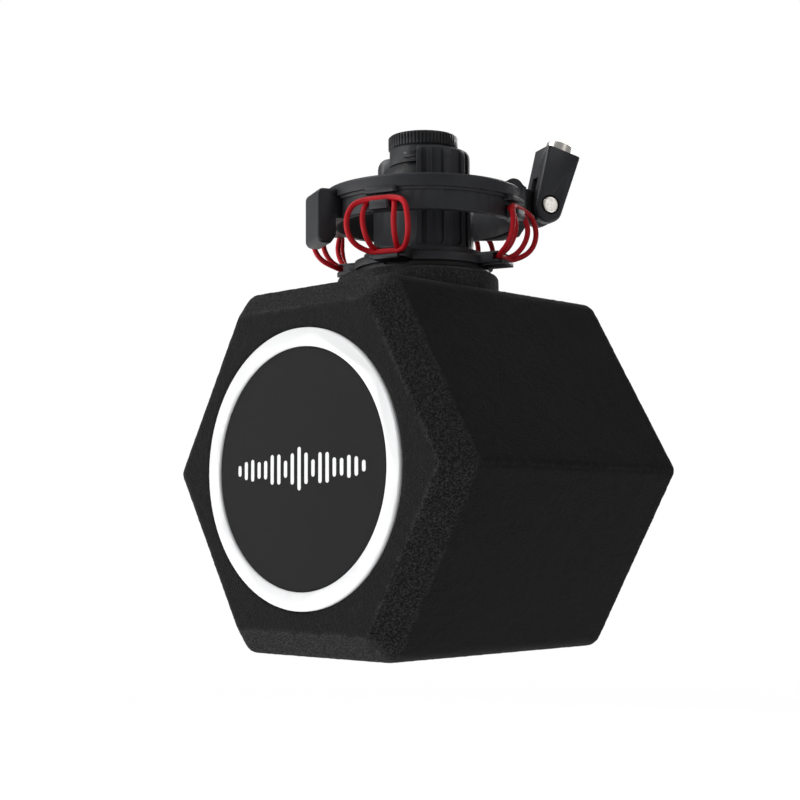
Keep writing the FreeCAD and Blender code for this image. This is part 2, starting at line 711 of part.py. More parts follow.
def front_block():
    low, high = BLOCK_Z
    block = box((-BLOCK_REACH, -BLOCK_HALF, low), (-RING_INNER_R - 1.2, BLOCK_HALF, high))
    nose_edges = edges_along(block, V(0, 1, 0), lambda at: at.x < -BLOCK_REACH + 1)
    block = block.makeFillet(BLOCK_NOSE_EDGE, nose_edges)
    side_edges = [
        e for e in block.Edges
        if e.CenterOfMass.x < -RING_FLANGE_R - 0.5 and abs(e.CenterOfMass.y) > BLOCK_HALF - 0.01
    ]
    block = block.makeFillet(BLOCK_EDGE, side_edges)
    back = box((-BLOCK_BACK_R, -20, low - 5), (0, 20, RING_SKIRT_FOOT_Z))
    across, up = BLOCK_BACK_CUT
    corner = [V(-BLOCK_BACK_R - across, -20, low), V(-BLOCK_BACK_R + 1, -20, low + up * (1 + 1 / across)),
              V(-BLOCK_BACK_R + 1, -20, low - 1), V(-BLOCK_BACK_R - across, -20, low - 1)]
    corner_cut = polygon_face(corner).extrude(V(0, 40, 0))
    return block.cut([ring_envelope(), back, corner_cut])


# ---- swivel ----
def swivel_bracket():
    """The rib that stands off the ring and thins to the ear that the pivot bolt passes through."""
    r, z = PIVOT
    foot_z = SWIVEL_WEB_FOOT_Z
    hump = [(51.0, 264.5), (55.4, 274.4), (61.0, 271.2)]
    saddle = [hump[-1], (64.6, 269.2), (69.0, 269.4)]
    rest = [saddle[-1], (r, z + EAR_R), (r + EAR_R, z), (r, z - EAR_R), (69.5, 249.5), (62.5, 245.5),
            (58.5, foot_z + 0.6), (56.5, foot_z), (50.8, foot_z), hump[0]]
    curves = [Part.Arc(*[V(x, -RIB_HALF, y) for x, y in arc]).toShape() for arc in (hump, saddle)]
    sides = Part.makePolygon([V(x, -RIB_HALF, y) for x, y in rest]).Edges
    rib = Part.Face(Part.Wire([*curves, *sides])).extrude(V(0, 2 * RIB_HALF, 0))
    ear_round = Part.makeCylinder(EAR_R, 2 * RIB_HALF, V(r, -RIB_HALF, z), V(0, 1, 0))
    rib = joined([rib, ear_round])
    thinning_from = r - EAR_R - EAR_THIN_REACH
    cheeks = [
        box((thinning_from, EAR_HALF, z - 30), (r + 20, 20, z + 30)),
        box((thinning_from, -20, z - 30), (r + 20, -EAR_HALF, z + 30)),
    ]
    hole = Part.makeCylinder(BOLT_R + PIVOT_FIT, 40, V(r, -20, z), V(0, 1, 0))
    narrow, wide = SWIVEL_WEB_HALF
    web_outline = [(-wide, RING_SKIRT_FOOT_Z), (-narrow, foot_z), (narrow, foot_z), (wide, RING_SKIRT_FOOT_Z)]
    web = polygon_face([V(40, y, h) for y, h in web_outline]).extrude(V(30, 0, 0))
    web = web.common(tube(RING_SKIRT_R - 0.5, RING_INNER_R + 1, foot_z - 1, RING_SKIRT_FOOT_Z + 1))
    inside = cylinder(RING_INNER_R + 1, 225, 280)
    return joined([rib.cut([*cheeks, hole, ring_envelope(), inside]), web])


def lean(shape):
    """Tips a shape that stands upright over the pivot outwards by the socket's lean."""
    copy = shape.copy()
    copy.rotate(V(PIVOT[0], 0, PIVOT[1]), V(0, 1, 0), SOCKET_LEAN)
    return copy


def socket_block():
    r, z = PIVOT
    top = z + SOCKET_LONG
    low = z - SOCKET_FOOT_DROP
    outline = [V(r - SOCKET_FOOT_R, -SOCKET_HALF, low), V(r + SOCKET_FOOT_R, -SOCKET_HALF, low),
               V(r + SOCKET_TOP_HALF, -SOCKET_HALF, top), V(r - SOCKET_TOP_HALF, -SOCKET_HALF, top)]
    upper = polygon_face(outline).extrude(V(0, 2 * SOCKET_HALF, 0))
    foot = Part.makeCylinder(SOCKET_FOOT_R, 2 * SOCKET_HALF, V(r, -SOCKET_HALF, low), V(0, 1, 0))
    block = joined([upper, foot])
    rims = [
        e for e in block.Edges
        if abs(abs(e.CenterOfMass.y) - SOCKET_HALF) < 0.01 and e.CenterOfMass.z < top - 1
    ]
    block = block.makeChamfer(SOCKET_EDGE, rims)
    slot = box((r - 20, -CLEVIS_HALF, z - 20), (r + 20, CLEVIS_HALF, z + CLEVIS_DEEP))
    hole = Part.makeCylinder(BOLT_R + 0.02, 40, V(r, -20, z), V(0, 1, 0))
    recess_r, recess_deep = BOLT_HEAD_RECESS
    recess = Part.makeCylinder(recess_r, 10, V(r, -SOCKET_HALF + recess_deep - 10, z), V(0, 1, 0))
    nut_pocket = hexagon_prism(NUT_ACROSS_FLATS + 0.2, SOCKET_HALF - NUT_HIGH - 0.2, SOCKET_HALF + 5)
    seat = Part.makeCylinder(ADAPTER_R + 0.05, ADAPTER_SEAT + 1, V(r, 0, top - ADAPTER_SEAT))
    return lean(block.cut([slot, hole, recess, nut_pocket, seat]))


def hexagon_prism(across_flats, near, far):
    """A hexagonal bar along Y through the pivot."""
    r, z = PIVOT
    vertex_r = across_flats / 2 / math.cos(math.radians(30))
    points = []
    for i in range(6):
        turn = math.radians(60 * i)
        points.append(V(r + vertex_r * math.cos(turn), near, z + vertex_r * math.sin(turn)))
    return polygon_face(points).extrude(V(0, far - near, 0))


def pivot_bolt():
    r, z = PIVOT
    recess_deep = BOLT_HEAD_RECESS[1]
    seat = -SOCKET_HALF + recess_deep
    head_high = 2.3
    head = Part.makeCylinder(BOLT_HEAD_R, head_high, V(r, seat - head_high, z), V(0, 1, 0))
    rim = [e for e in head.Edges if e.Closed and e.CenterOfMass.y < seat - head_high + 0.1]
    head = head.makeFillet(1.1, rim)
    shank = Part.makeCylinder(BOLT_R, SOCKET_HALF - 0.6 - seat, V(r, seat, z), V(0, 1, 0))
    return lean(joined([head, shank]))


def pivot_nut():
    r, z = PIVOT
    nut = hexagon_prism(NUT_ACROSS_FLATS, SOCKET_HALF - NUT_HIGH - 0.1, SOCKET_HALF - 0.1)
    return lean(nut.cut(Part.makeCylinder(BOLT_R + 0.02, 40, V(r, -20, z), V(0, 1, 0))))


def pivot_washers():
    r, z = PIVOT
    washers = []
    for side in (-1, 1):
        near, far = sorted((side * (EAR_HALF + 0.04), side * (CLEVIS_HALF - 0.02)))
        disc = Part.makeCylinder(EAR_R - 0.3, far - near, V(r, near, z), V(0, 1, 0))
        washers.append(disc.cut(Part.makeCylinder(BOLT_R + 0.05, 40, V(r, -20, z), V(0, 1, 0))))
    return Part.makeCompound(washers)


def thread_adapter():
    r, z = PIVOT
    top = z + SOCKET_LONG
    low = top - ADAPTER_SEAT + 0.02
    body = Part.makeCylinder(ADAPTER_R, top + ADAPTER_PROUD - low, V(r, 0, low))
    rim = [e for e in body.Edges if e.Closed and e.CenterOfMass.z > top + ADAPTER_PROUD - 0.1]
    body = body.makeFillet(0.5, rim)
    return lean(body.cut(Part.makeCylinder(ARM_THREAD_R, 60, V(r, 0, low - 5))))


def main():
    os.makedirs("parts", exist_ok=True)
    save("foam_body", foam_body())
    save("neck_collar", neck_collar())

    front_mesh, spacer, rear_mesh, retainer, end = filter_layers()
    save("pop_filter_ring", filter_ring())
    save("pop_filter_front_mesh", filter_disc(front_mesh))
    save("pop_filter_spacer", filter_hoop(spacer, rear_mesh))
    save("pop_filter_rear_mesh", filter_disc(rear_mesh))
    save("pop_filter_retainer", filter_hoop(retainer, end))

    save("microphone_tube", microphone_tube())
    save("microphone_tail", microphone_tail())
    save("head_grille", head_grille())
    save("grille_collar", grille_collar())
    capsule, skins, clamps = capsule_parts()
    save("capsule_body", capsule)
    save("capsule_diaphragms", skins)
    save("capsule_clamp_rings", clamps)
    save("capsule_saddle", capsule_saddle())
    save("microphone_rails", microphone_rails())
    save("circuit_board", circuit_board())
    save("board_components", board_parts())
    save("xlr_insert", xlr_insert())
    save("xlr_pins", xlr_pins())

    save("cradle_frame", on_mount(cradle_frame()))
    save("cradle_lug_plate", on_mount(lug_plate()))
    save("cradle_lower_ring", on_mount(lower_ring()))
    save("cradle_grip_ring", on_mount(grip_ring()))
    save("cradle_screws", on_mount(cradle_screws()))
    save("locking_ring", on_mount(locking_ring()))

    save("outer_ring", on_mount(outer_ring()))
    save("front_block", on_mount(front_block()))
    save("swivel_bracket", on_mount(swivel_bracket()))
    loops = elastic_loops()
    for name, angle in zip(HOOK_NAMES, HOOK_ANGLES):
        save(f"elastic_{name}", on_mount(about_z(loops, angle)))

    save("socket_block", on_mount(socket_block()))
    save("thread_adapter", on_mount(thread_adapter()))
    save("pivot_bolt", on_mount(pivot_bolt()))
    save("pivot_nut", on_mount(pivot_nut()))
    save("pivot_washers", on_mount(pivot_washers()))


main()
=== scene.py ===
import json
import math

import bmesh
import bpy
import numpy as np
from mathutils import Matrix, Vector, noise


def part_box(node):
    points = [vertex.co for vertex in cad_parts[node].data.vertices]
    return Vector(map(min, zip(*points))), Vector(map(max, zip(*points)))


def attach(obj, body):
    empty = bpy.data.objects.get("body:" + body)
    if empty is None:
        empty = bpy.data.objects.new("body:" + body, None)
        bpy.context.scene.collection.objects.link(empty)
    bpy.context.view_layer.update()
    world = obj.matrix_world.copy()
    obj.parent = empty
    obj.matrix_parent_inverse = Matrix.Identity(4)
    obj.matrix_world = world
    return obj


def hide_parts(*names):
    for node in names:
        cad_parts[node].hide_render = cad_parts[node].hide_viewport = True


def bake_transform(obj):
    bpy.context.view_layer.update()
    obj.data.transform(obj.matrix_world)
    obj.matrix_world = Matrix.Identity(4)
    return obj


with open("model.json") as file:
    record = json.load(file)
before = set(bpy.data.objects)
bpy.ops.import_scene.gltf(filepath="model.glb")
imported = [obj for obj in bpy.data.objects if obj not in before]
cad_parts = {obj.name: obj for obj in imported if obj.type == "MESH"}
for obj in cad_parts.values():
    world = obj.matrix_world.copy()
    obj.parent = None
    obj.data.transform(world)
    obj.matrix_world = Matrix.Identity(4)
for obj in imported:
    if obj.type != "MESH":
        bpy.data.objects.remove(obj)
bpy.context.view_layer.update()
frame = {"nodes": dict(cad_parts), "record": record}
NODES = frame["nodes"]
RECORD = frame["record"]
BODY = {node: body for body, nodes in RECORD["behaviour"]["bodies"].items() for node in nodes}
SLOT = {part["node"]: part["material_slot"] for part in RECORD["subparts"]}
JOINT = {joint["name"]: joint for joint in RECORD["behaviour"]["joints"]}
MOUNT = {mount["name"]: mount for mount in RECORD["mounts"]}
MM = 0.001
SCENE = bpy.context.scene
UP = (0, 0, 1)
ACROSS = (1, 0, 0)

# where things are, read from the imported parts
FOAM_LOW, FOAM_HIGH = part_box("foam_body")
MESH_LOW, MESH_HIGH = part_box("pop_filter_front_mesh")
GRILLE_LOW, GRILLE_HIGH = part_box("head_grille")
COLLAR_LOW, COLLAR_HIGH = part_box("neck_collar")
FOAM_AXIS = Vector((0, 0, (FOAM_LOW.z + FOAM_HIGH.z) / 2))
FOAM_APOTHEM = (FOAM_HIGH.z - FOAM_LOW.z) / 2
FOAM_BEVEL_IN, FOAM_BEVEL_DEEP = 13.3 * MM, 14.3 * MM
PIVOT = Vector(JOINT["swivel_tilt"]["pos_m"])
TILT_AXIS = Vector(JOINT["swivel_tilt"]["axis"]).normalized()
SOCKET_AXIS = Vector(MOUNT["arm_thread"]["axis"]).normalized()
SOCKET_MOUTH = Vector(MOUNT["arm_thread"]["pos_m"])
SWIVEL_BEARING = math.atan2(PIVOT.y, PIVOT.x)

# sizes that several functions share
THREAD_PITCH = 0.55 * MM
MESH_BELLY = 0.35 * MM
MESH_THICK = 0.35 * MM
EDGE_RADIUS = 0.25 * MM
EDGE_ANGLE = 32
EDGE_SEGMENTS = 2
SHARP_ANGLE = 40
FLAT_ANGLE = 1.5
WELD_DISTANCE = 0.002 * MM


def shade(colour, factor, lift=0.0):
    """A colour made lighter or darker, with no channel above 1."""
    return tuple(min(1, factor * channel + lift) for channel in colour)


# ---- node materials ----
class Paint:
    """One procedural material, in the object's own metres."""

    EDGE_SAMPLES = 4
    CREVICE_SAMPLES = 6

    def __init__(self, name, colour, rough, metal=0.0, **sockets):
        self.material = bpy.data.materials.new(name)
        self.material.use_nodes = True
        self.tree = self.material.node_tree
        self.nodes = self.tree.nodes
        self.shader = self.nodes["Principled BSDF"]
        self.material.diffuse_color = (*colour, 1)
        self.set("Base Color", (*colour, 1))
        self.set("Roughness", rough)
        self.set("Metallic", metal)
        for key, value in sockets.items():
            self.set(key.replace("_", " "), value)
        self.here = self.nodes.new("ShaderNodeTexCoord").outputs["Object"]
        self.height = None

    def set(self, socket, value):
        """Sets a socket of the shader."""
        self.shader.inputs[socket].default_value = value

    def link(self, output, socket):
        self.tree.links.new(output, socket)

    def math(self, operation, a, b=None):
        """One step of arithmetic on sockets or plain numbers."""
        node = self.nodes.new("ShaderNodeMath")
        node.operation = operation
        for socket, value in zip(node.inputs, (a, b)):
            if value is None:
                continue
            if isinstance(value, (int, float)):
                socket.default_value = value
            else:
                self.link(value, socket)
        return node.outputs[0]

    def ramp(self, value, low, high, out_low=0.0, out_high=1.0):
        """Eases from out_low to out_high while the value goes from low to high."""
        node = self.nodes.new("ShaderNodeMapRange")
        node.interpolation_type = "SMOOTHSTEP"
        self.link(value, node.inputs["Value"])
        limits = {"From Min": low, "From Max": high, "To Min": out_low, "To Max": out_high}
        for name, number in limits.items():
            node.inputs[name].default_value = number
        return node.outputs["Result"]

    def grain(self, size, detail=3.0, roughness=0.6):
        """Noise whose blobs are about size metres across."""
        node = self.nodes.new("ShaderNodeTexNoise")
        node.inputs["Scale"].default_value = 1 / size
        node.inputs["Detail"].default_value = detail
        node.inputs["Roughness"].default_value = roughness
        self.link(self.here, node.inputs["Vector"])
        return node.outputs["Fac"]

    def cells(self, size):
        """Distance to the nearest middle of scattered cells, counted in cells of about size metres."""
        node = self.nodes.new("ShaderNodeTexVoronoi")
        node.inputs["Scale"].default_value = 1 / size
        self.link(self.here, node.inputs["Vector"])
        return node.outputs["Distance"]

    def along(self, direction):
        """Distance along a direction, in metres."""
        node = self.nodes.new("ShaderNodeVectorMath")
        node.operation = "DOT_PRODUCT"
        self.link(self.here, node.inputs[0])
        node.inputs[1].default_value = tuple(direction)
        return node.outputs["Value"]

    def away(self, point, axis):
        """Distance from a line, in metres."""
        shift = self.nodes.new("ShaderNodeVectorMath")
        shift.operation = "SUBTRACT"
        self.link(self.here, shift.inputs[0])
        shift.inputs[1].default_value = tuple(point)
        cross = self.nodes.new("ShaderNodeVectorMath")
        cross.operation = "CROSS_PRODUCT"
        self.link(shift.outputs[0], cross.inputs[0])
        cross.inputs[1].default_value = tuple(axis)
        length = self.nodes.new("ShaderNodeVectorMath")
        length.operation = "LENGTH"
        self.link(cross.outputs[0], length.inputs[0])
        return length.outputs["Value"]

    def waves(self, distance, pitch):
        """A sine from -1 to 1 that repeats every pitch metres."""
        return self.math("SINE", self.math("MULTIPLY", distance, math.tau / pitch))

    def attribute(self, name):
        """A number that the mesh holds at each of its points."""
        node = self.nodes.new("ShaderNodeAttribute")
        node.attribute_name = name
        return node.outputs["Fac"]

    def edges(self, radius=0.5 * MM):
        """1 on sharp edges, 0 on flats."""
        bevel = self.nodes.new("ShaderNodeBevel")
        bevel.samples = self.EDGE_SAMPLES
        bevel.inputs["Radius"].default_value = radius
        geometry = self.nodes.new("ShaderNodeNewGeometry")
        dot = self.nodes.new("ShaderNodeVectorMath")
        dot.operation = "DOT_PRODUCT"
        self.link(bevel.outputs["Normal"], dot.inputs[0])
        self.link(geometry.outputs["Normal"], dot.inputs[1])
        return self.ramp(dot.outputs["Value"], 0.99, 0.86)

    def crevice_shade(self, reach):
        """Painted shade: 1 far into grooves and corners, where little light reaches, 0 in the open."""
        occlusion = self.nodes.new("ShaderNodeAmbientOcclusion")
        occlusion.samples = self.CREVICE_SAMPLES
        occlusion.inputs["Distance"].default_value = reach
        return self.ramp(occlusion.outputs["AO"], 0.9, 0.45)

    def colour(self, share, other):
        """Blends the present base colour towards other by share."""
        mix = self.nodes.new("ShaderNodeMix")
        mix.data_type = "RGBA"
        self.link(share, mix.inputs["Factor"])
        base = self.shader.inputs["Base Color"]
        if base.is_linked:
            self.link(base.links[0].from_socket, mix.inputs["A"])
        else:
            mix.inputs["A"].default_value = base.default_value
        mix.inputs["B"].default_value = (*other, 1)
        self.link(mix.outputs["Result"], base)
        return self

    def roughness(self, share, low, high):
        """Lets the roughness run from low to high as share goes from 0 to 1."""
        self.link(self.ramp(share, 0.0, 1.0, low, high), self.shader.inputs["Roughness"])
        return self

    def bump(self, height, depth, strength):
        """Adds a bump of depth metres for a height from 0 to 1."""
        node = self.nodes.new("ShaderNodeBump")
        node.inputs["Distance"].default_value = depth
        node.inputs["Strength"].default_value = strength
        self.link(height, node.inputs["Height"])
        if self.height is not None:
            self.link(self.height, node.inputs["Normal"])
        self.height = node.outputs["Normal"]
        self.link(self.height, self.shader.inputs["Normal"])
        return self


def foam_paint(name, base, light, cell, wear_light):
    """Open-cell foam: dark pores, pale broken cell walls, rubbed edges (wear) and rough-cut faces (cut)."""
    p = Paint(name, base, 0.96, Sheen_Weight=0.03, Sheen_Roughness=0.5)
    p.set("Specular IOR Level", 0.12)
    pores = p.cells(cell)
    crumbs = p.grain(1.15 * cell, 2.0, 0.55)
    fine = p.grain(0.55 * cell, 4.0, 0.7)
    patches = p.grain(24 * cell, 3.0, 0.6)
    cut = p.attribute("cut")
    walls = p.math("MULTIPLY", p.ramp(pores, 0.32, 0.72), p.ramp(fine, 0.42, 0.62))
    p.colour(p.math("MULTIPLY", walls, 0.8), light)
    p.colour(p.math("MULTIPLY", p.ramp(patches, 0.3, 0.75), 0.14), light)
    p.colour(p.math("MULTIPLY", cut, p.ramp(crumbs, 0.4, 0.7, 0.0, 0.64)), shade(light, 2.1))
    p.colour(p.math("MULTIPLY", cut, p.ramp(crumbs, 0.44, 0.3, 0.0, 0.5)), shade(base, 0.6))
    breaks = p.math("MULTIPLY", p.ramp(fine, 0.35, 0.6), p.ramp(p.grain(7 * cell, 3.0), 0.38, 0.6, 0.15, 1.0))
    p.colour(p.math("MULTIPLY", p.math("MULTIPLY", p.attribute("wear"), breaks), 0.6), wear_light)
    depth = p.math("ADD", p.math("MULTIPLY", cut, 0.4), 0.35)
    p.bump(p.math("MULTIPLY", p.ramp(crumbs, 0.35, 0.6), depth), 0.6 * MM, 0.8)
    p.bump(p.ramp(pores, 0.05, 0.6), 0.3 * MM, 0.9)
    p.bump(fine, 0.25 * MM, 0.6)
    return p.material


def plastic_paint(name, colour, rough, texture=0.35 * MM, rub_and_highlight=1.6, gloss=0.5):
    """Moulded plastic: fine spark texture, faint smears, edges lighter as rubbed wear and painted highlight,
    and grooves darkened as painted shade.
    """
    p = Paint(name, colour, rough)
    p.set("Specular IOR Level", gloss)
    smears = p.grain(14 * MM, 4.0, 0.6)
    spark = p.cells(texture)
    fine = p.grain(0.6 * texture, 2.0)
    p.colour(p.math("MULTIPLY", p.ramp(smears, 0.4, 0.75), 0.35), shade(colour, 1.35))
    # edges painted lighter: partly rubbed wear, partly a painted highlight where light catches them
    p.colour(p.math("MULTIPLY", p.edges(), 0.55), shade(colour, rub_and_highlight, 0.02))
    # painted shade: grooves and corners darkened in the colour, where light would not reach
    p.colour(p.math("MULTIPLY", p.crevice_shade(5 * MM), 0.85), shade(colour, 0.15))
    p.roughness(smears, rough - 0.05, rough + 0.09)
    p.bump(spark, 0.035 * MM, 0.55)
    p.bump(fine, 0.02 * MM, 0.5)
    return p.material


def painted_paint(name, colour, rough):
    """Sprayed metal: orange peel, fine specks painted lighter as glints, edges polished by handling and
    painted lighter as a highlight.
    """
    p = Paint(name, colour, rough)
    p.set("Specular IOR Level", 0.25)
    peel = p.grain(1.1 * MM, 2.0, 0.5)
    glint_specks = p.cells(0.28 * MM)
    smears = p.grain(18 * MM, 4.0)
    # painted glints: fine specks of lighter colour standing for sparkle
    p.colour(p.ramp(glint_specks, 0.12, 0.04, 0.0, 0.5), shade(colour, 2.2, 0.01))
    # edges painted lighter: partly polish from handling, partly a painted highlight
    p.colour(p.math("MULTIPLY", p.edges(0.4 * MM), 0.4), shade(colour, 1.8, 0.02))
    p.roughness(smears, rough - 0.06, rough + 0.12)
    p.bump(peel, 0.02 * MM, 0.45)
    return p.material


def turned_paint(name, colour, rough, point, axis, pitch=0.22 * MM, tarnish=None, blotch=5 * MM):
    """Lathe-turned metal: fine rings about its axis, smudges and a darker bloom."""
    p = Paint(name, colour, rough, 1.0)
    rings = p.waves(p.math("ADD", p.away(point, axis), p.along(axis)), pitch)
    smudge = p.grain(blotch, 5.0, 0.65)
    scratch = p.grain(0.8 * MM, 3.0)
    p.colour(p.math("MULTIPLY", p.ramp(smudge, 0.42, 0.75), 0.4), tarnish or shade(colour, 0.72))
    p.roughness(smudge, rough - 0.05, rough + 0.16)
    p.bump(rings, 0.006 * MM, 0.5)
    p.bump(scratch, 0.004 * MM, 0.4)
    return p.material


def film_paint(name, colour, rough):
    """Gold-sputtered film, slightly rippled where it is stretched."""
    p = Paint(name, colour, rough, 1.0)
    p.bump(p.grain(6 * MM, 2.0), 0.05 * MM, 0.6)
    p.colour(p.ramp(p.grain(9 * MM), 0.45, 0.7, 0.0, 0.35), shade(colour, 0.8))
    return p.material


def board_paint(name, colour):
    """Solder mask over a maze of tracks."""
    p = Paint(name, colour, 0.35, Coat_Weight=0.3, Coat_Roughness=0.2)
    brick = p.nodes.new("ShaderNodeTexBrick")
    brick.inputs["Scale"].default_value = 1 / (9 * MM)
    brick.inputs["Mortar Size"].default_value = 0.05
    spin = p.nodes.new("ShaderNodeVectorRotate")
    spin.rotation_type = "X_AXIS"
    spin.inputs["Angle"].default_value = math.radians(90)
    p.link(p.here, spin.inputs["Vector"])
    p.link(spin.outputs["Vector"], brick.inputs["Vector"])
    p.colour(p.math("MULTIPLY", brick.outputs["Fac"], 0.8), shade(colour, 1.9, 0.03))
    p.bump(brick.outputs["Fac"], 0.04 * MM, 0.6)
    return p.material


def weave_paint(name, dark, light, pitch):
    """Tightly woven cloth in the plane of the shield's mouth, its thread crowns painted lighter as a
    highlight.
    """
    p = Paint(name, dark, 0.82, Sheen_Weight=0.05, Sheen_Roughness=0.45)
    p.set("Specular IOR Level", 0.2)
    across, up = p.along(ACROSS), p.along(UP)
    wobble = p.math("MULTIPLY", p.grain(5 * MM, 2.0), 0.35 * MM)
    warp = p.waves(p.math("ADD", across, wobble), pitch)
    weft = p.waves(p.math("ADD", up, wobble), pitch)
    over = p.math("MULTIPLY", warp, weft)
    thread = p.math("MAXIMUM", p.math("ABSOLUTE", warp), p.math("ABSOLUTE", weft))
    height = p.math("ADD", p.math("MULTIPLY", over, 0.5), thread)
    slub = p.grain(2.2 * MM, 3.0)
    # painted highlight on the thread crowns, with the low gaps between threads left dark as painted shade
    p.colour(p.ramp(height, 0.5, 1.5, 0.0, 0.55), light)
    p.colour(p.math("MULTIPLY", p.ramp(slub, 0.45, 0.7), 0.22), light)
    p.bump(p.ramp(height, -0.5, 1.5), 0.16 * MM, 0.7)
    p.bump(p.grain(0.12 * MM, 2.0), 0.03 * MM, 0.5)
    return p.material


def sheath_paint(name, colour, strand_shade):
    """The braided sheath of an elastic cord: the braid attribute is 1 on a strand's crown, 0 between, and the
    red is painted darker between the strands as shade.
    """
    p = Paint(name, colour, 0.48, Sheen_Weight=0.06, Sheen_Roughness=0.4)
    p.set("Sheen Tint", (1.0, 0.2, 0.2, 1))
    p.set("Specular IOR Level", 0.16)
    braid = p.attribute("braid")
    # painted shade: the red darkened in the valleys between the strands
    p.colour(p.ramp(braid, 0.55, 0.0, 0.0, 0.75), strand_shade)
    p.colour(p.math("MULTIPLY", p.ramp(p.grain(0.35 * MM, 3.0), 0.5, 0.75), 0.3), shade(colour, 1.4, 0.02))
    p.bump(p.grain(0.1 * MM, 2.0), 0.03 * MM, 0.7)
    return p.material


def wire_paint(name, colour):
    """Painted steel wire, worn bright in specks."""
    p = Paint(name, colour, 0.38, 0.6)
    p.colour(p.math("MULTIPLY", p.ramp(p.grain(0.5 * MM, 3.0), 0.5, 0.75), 0.5), shade(colour, 2.2))
    p.bump(p.grain(0.15 * MM, 2.0), 0.01 * MM, 0.5)
    return p.material


def print_paint(name, colour):
    """Screen print that has soaked a little into the weave."""
    p = Paint(name, colour, 0.7)
    across, up = p.along(ACROSS), p.along(UP)
    thread = p.math("MULTIPLY", p.waves(across, THREAD_PITCH), p.waves(up, THREAD_PITCH))
    p.colour(p.math("MULTIPLY", p.ramp(thread, 0.2, -0.9), 0.14), (0.5, 0.5, 0.52))
    p.bump(p.ramp(thread, -1.0, 1.0), 0.05 * MM, 0.6)
    return p.material


def ring_paint(name, colour):
    """Satin white moulding with faint flow marks and a little grey in the touched places."""
    p = Paint(name, colour, 0.42)
    p.set("Subsurface Weight", 0.05)
    p.set("Subsurface Radius", (0.002, 0.002, 0.002))
    smears = p.grain(22 * MM, 5.0, 0.6)
    p.colour(p.math("MULTIPLY", p.ramp(smears, 0.5, 0.8), 0.12), (0.66, 0.67, 0.68))
    p.roughness(smears, 0.34, 0.52)
    p.bump(p.cells(0.5 * MM), 0.02 * MM, 0.4)
    p.bump(p.grain(0.3 * MM, 2.0), 0.015 * MM, 0.4)
    return p.material


PAINTS = {
    "foam": foam_paint("foam", (0.0078, 0.0078, 0.0079), (0.024, 0.024, 0.0243), 0.95 * MM,
                       (0.066, 0.066, 0.067)),
    "collar_foam": foam_paint("collar_foam", (0.024, 0.024, 0.0242), (0.075, 0.075, 0.0757), 0.8 * MM,
                              (0.05, 0.05, 0.05)),
    "ring_white": ring_paint("ring_white", (0.83, 0.834, 0.84)),
    "mesh_cloth": weave_paint("mesh_cloth", (0.0084, 0.0084, 0.0087), (0.0182, 0.0182, 0.0187), THREAD_PITCH),
    "inner_plastic": plastic_paint("inner_plastic", (0.012, 0.012, 0.013), 0.5),
    "mic_paint": painted_paint("mic_paint", (0.0065, 0.007, 0.0085), 0.45),
    "grille_wire": wire_paint("grille_wire", (0.035, 0.035, 0.038)),
    "capsule_brass": turned_paint("capsule_brass", (0.72, 0.52, 0.22), 0.25, (0, 0, 0.1), (0, 1, 0)),
    "diaphragm_gold": film_paint("diaphragm_gold", (0.86, 0.64, 0.27), 0.18),
    "saddle_plastic": plastic_paint("saddle_plastic", (0.03, 0.03, 0.032), 0.5),
    "rail_steel": turned_paint("rail_steel", (0.6, 0.61, 0.62), 0.35, (0, 0, 0), UP),
    "board_green": board_paint("board_green", (0.02, 0.11, 0.045)),
    "component_black": plastic_paint("component_black", (0.02, 0.02, 0.022), 0.32),
    "insert_plastic": plastic_paint("insert_plastic", (0.012, 0.012, 0.013), 0.45),
    "pin_metal": turned_paint("pin_metal", (0.83, 0.68, 0.38), 0.2, (0, 0, 0), UP, 0.15 * MM),
    "mount_plastic": plastic_paint("mount_plastic", (0.0188, 0.0198, 0.024), 0.44, gloss=0.4),
    "ring_plastic": plastic_paint("ring_plastic", (0.0128, 0.0135, 0.0162), 0.44, gloss=0.4),
    "grip_rubber": plastic_paint("grip_rubber", (0.01, 0.01, 0.01), 0.75, 0.5 * MM, 1.3, 0.3),
    "screw_steel": turned_paint("screw_steel", (0.2, 0.2, 0.21), 0.35, (0, 0, 0), UP),
    "lock_metal": painted_paint("lock_metal", (0.02, 0.0205, 0.023), 0.33),
    "elastic_red": sheath_paint("elastic_red", (0.45, 0.007, 0.014), (0.13, 0.002, 0.004)),
    "adapter_metal": turned_paint("adapter_metal", (0.90, 0.87, 0.81), 0.24, SOCKET_MOUTH, SOCKET_AXIS),
    "bolt_chrome": turned_paint("bolt_chrome", (0.96, 0.93, 0.87), 0.26, PIVOT, TILT_AXIS, 0.3 * MM,
                                (0.62, 0.56, 0.45), 1.6 * MM),
    "nut_steel": turned_paint("nut_steel", (0.6, 0.6, 0.61), 0.3, PIVOT, TILT_AXIS),
    "washer_nylon": plastic_paint("washer_nylon", (0.55, 0.54, 0.5), 0.5),
    "print": print_paint("print", (0.86, 0.86, 0.87)),
}


def paint(obj, key):
    """Gives an object one material."""
    obj.data.materials.clear()
    obj.data.materials.append(PAINTS[key])


for node, obj in NODES.items():
    for material_slot in obj.material_slots:
        material_slot.material = PAINTS[SLOT[node]]


# ---- pieces ----
def piece(name, vertices, faces, body, key, smooth=True):
    """A new mesh object. Without a body, its caller says what it rides on."""
    mesh = bpy.data.meshes.new(name)
    mesh.from_pydata([tuple(v) for v in vertices], [], [tuple(f) for f in faces])
    mesh.validate()
    mesh.update()
    obj = bpy.data.objects.new(name, mesh)
    SCENE.collection.objects.link(obj)
    mesh.polygons.foreach_set("use_smooth", [smooth] * len(mesh.polygons))
    paint(obj, key)
    if body:
        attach(obj, body)
    return obj


